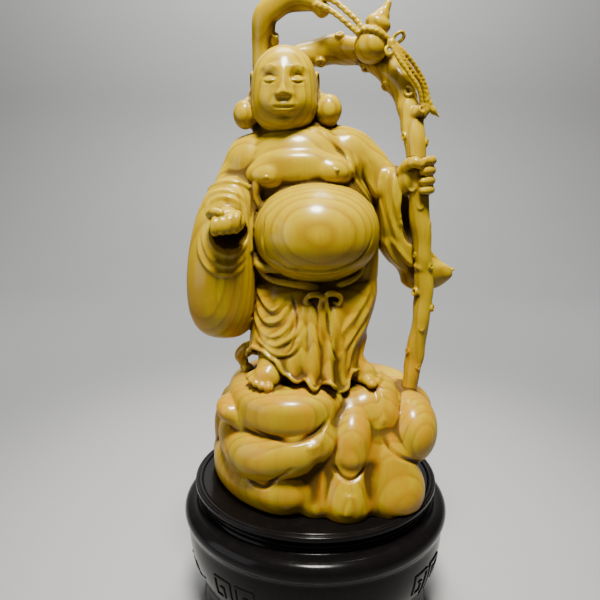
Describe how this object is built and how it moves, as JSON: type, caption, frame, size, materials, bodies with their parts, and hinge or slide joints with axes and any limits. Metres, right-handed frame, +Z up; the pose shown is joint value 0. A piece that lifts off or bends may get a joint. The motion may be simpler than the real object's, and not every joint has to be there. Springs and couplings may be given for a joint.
{
  "type": "carved wooden figure",
  "caption": "Laughing-monk carving standing on a cloud-shaped rock, one hand on a gnarled staff with a gourd, on a round black stand with bowed legs.",
  "frame": {"origin": "on the stand's axis, in the plane of the undersides of its feet", "axes": "+Z up, the figure's front faces -Y, +X is to the viewer's right"},
  "size_m": [0.263, 0.263, 0.5894],
  "materials": {
    "yellow_wood": "oiled and polished golden-yellow wood with brown growth lines",
    "black_wood": "satin black lacquer on turned wood"
  },
  "bodies": {
    "root": {"figure": "yellow_wood", "stand": "black_wood"}
  },
  "joints": []
}
